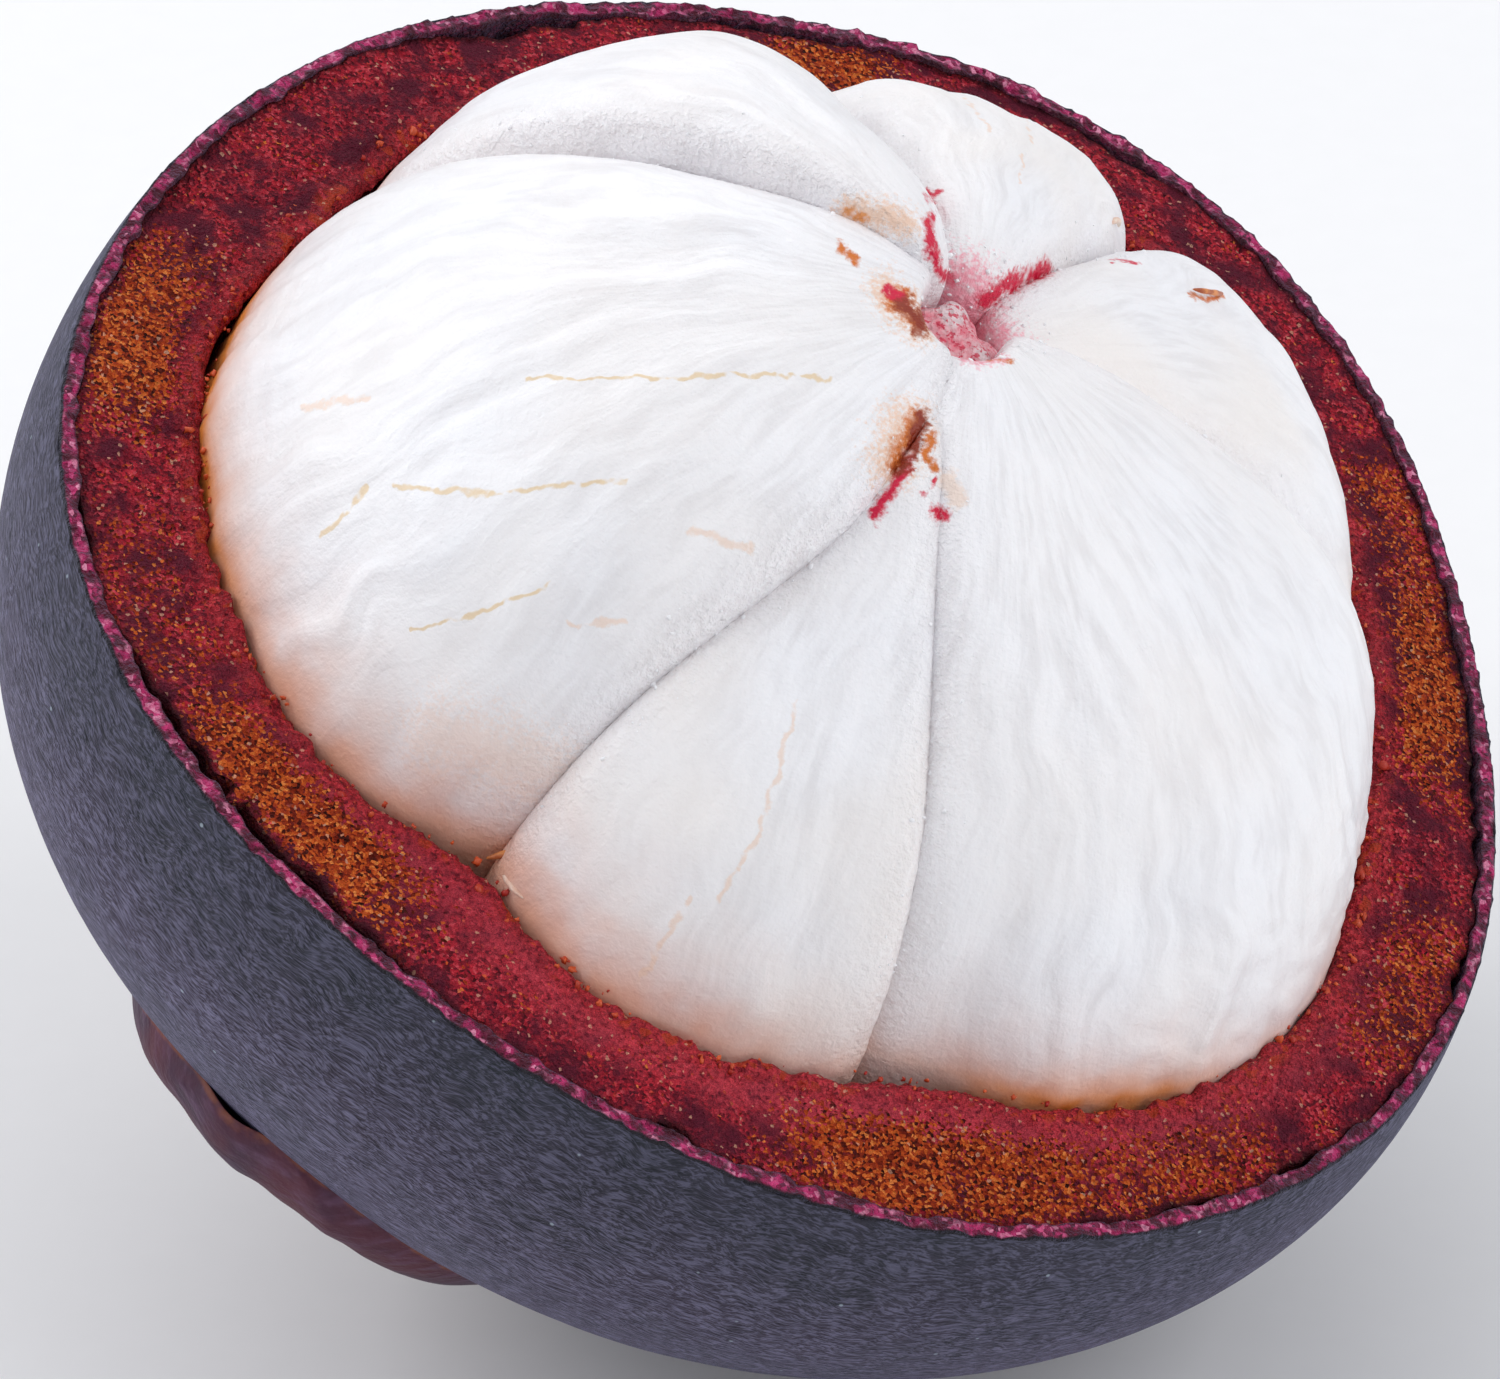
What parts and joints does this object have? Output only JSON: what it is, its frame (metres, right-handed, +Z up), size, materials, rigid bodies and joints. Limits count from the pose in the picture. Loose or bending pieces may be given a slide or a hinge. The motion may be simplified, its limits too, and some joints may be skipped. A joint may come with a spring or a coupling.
{
  "type": "opened mangosteen",
  "caption": "Opened mangosteen lying on its calyx: a thick dark rind cup holding whole white segments that stand out of it round a pink core.",
  "frame": {"origin": "on the floor, under the middle of the object's box", "axes": "+Z up from the floor the fruit rests on, -Y toward the viewer of the picture, +X to the viewer's right"},
  "size_m": [0.0592, 0.0611, 0.0513],
  "materials": {
    "rind": "matt leathery rind",
    "aril": "moist white flesh",
    "core": "torn pink tissue",
    "calyx": "dry leathery sepal",
    "stem": "dry wood"
  },
  "bodies": {
    "root": {"rind": "rind", "aril_front_wedge": "aril", "aril_front_right": "aril", "aril_right": "aril", "aril_back_right": "aril", "aril_back_left": "aril", "aril_front_left": "aril", "core": "core", "sepal_front": "calyx", "sepal_under": "calyx", "sepal_right": "calyx", "sepal_back": "calyx", "stem": "stem"}
  },
  "joints": []
}
